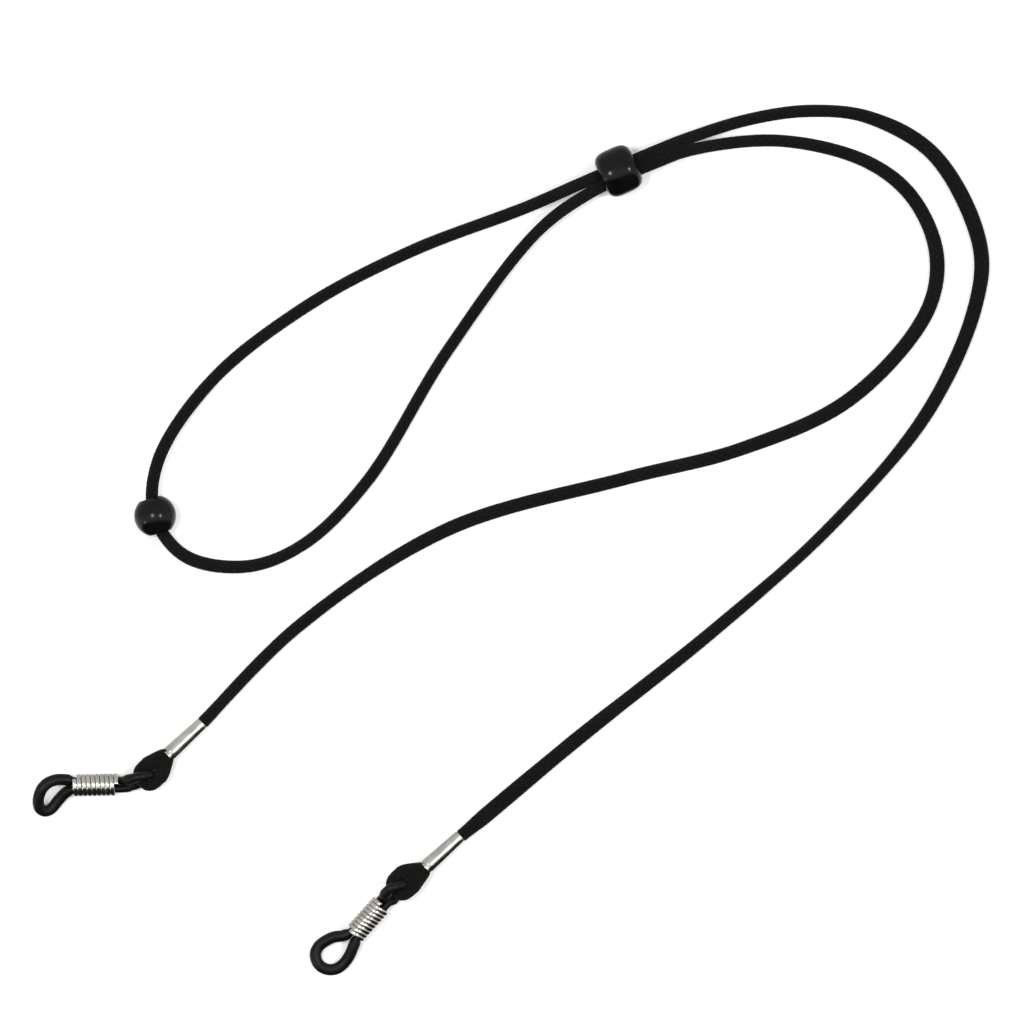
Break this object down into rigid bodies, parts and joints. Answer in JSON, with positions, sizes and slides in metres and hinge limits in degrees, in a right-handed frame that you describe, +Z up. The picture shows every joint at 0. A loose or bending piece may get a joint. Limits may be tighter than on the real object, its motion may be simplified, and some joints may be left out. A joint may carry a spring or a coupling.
{
  "type": "eyeglasses cord strap",
  "caption": "Adjustable black woven cord strap for eyeglasses, with a slider bead, a round stop bead, crimp ferrules, and rubber temple loops tightened by sliding wire coils.",
  "frame": {"origin": "under the middle of the strap's box, on the surface that it lies on", "axes": "+X along the longest side of the strap as it lies, from the left end fitting towards the outer bend; +Y from the two end fittings towards the slider bead; +Z up"},
  "size_m": [0.1813, 0.1652, 0.0091],
  "materials": {
    "cord": "matte",
    "rubber": "satin",
    "nickel": "polished",
    "bead_plastic": "gloss"
  },
  "bodies": {
    "strap": {"cord_run": "cord", "cord_eye_left": "cord", "cord_eye_right": "cord", "ferrule_left": "nickel", "ferrule_right": "nickel"},
    "slider_bead": {"slider_bead": "bead_plastic"},
    "stop_bead": {"stop_bead": "bead_plastic"},
    "temple_loop_left": {"temple_loop_left": "rubber"},
    "temple_loop_right": {"temple_loop_right": "rubber"},
    "coil_left": {"coil_left": "nickel"},
    "coil_right": {"coil_right": "nickel"}
  },
  "joints": [
    {"name": "slider_bead_slide", "type": "slide", "parent": "strap", "child": "slider_bead", "axis": [0.91, 0.4147, 0], "range_m": [-0.002, 0.0055]},
    {"name": "stop_bead_travel", "type": "hinge", "parent": "strap", "child": "stop_bead", "pos_m": [-0.05405, 0.00854, 0.004], "axis": [0, 0, 1], "range_deg": [-20, 20]},
    {"name": "temple_loop_left_swing", "type": "hinge", "parent": "strap", "child": "temple_loop_left", "pos_m": [-0.0683, -0.0444, 0.00325], "axis": [0, 0, 1], "range_deg": [-35, 120]},
    {"name": "temple_loop_right_swing", "type": "hinge", "parent": "strap", "child": "temple_loop_right", "pos_m": [-0.0203, -0.0652, 0.00325], "axis": [0, 0, 1], "range_deg": [-85, 70]},
    {"name": "coil_left_slide", "type": "slide", "parent": "temple_loop_left", "child": "coil_left", "axis": [-0.9998, -0.0175, 0], "range_m": [-0.0004, 0.0025], "deforming": ["temple_loop_left"]},
    {"name": "coil_right_slide", "type": "slide", "parent": "temple_loop_right", "child": "coil_right", "axis": [-0.6691, -0.7431, 0], "range_m": [-0.0004, 0.0025], "deforming": ["temple_loop_right"]}
  ]
}
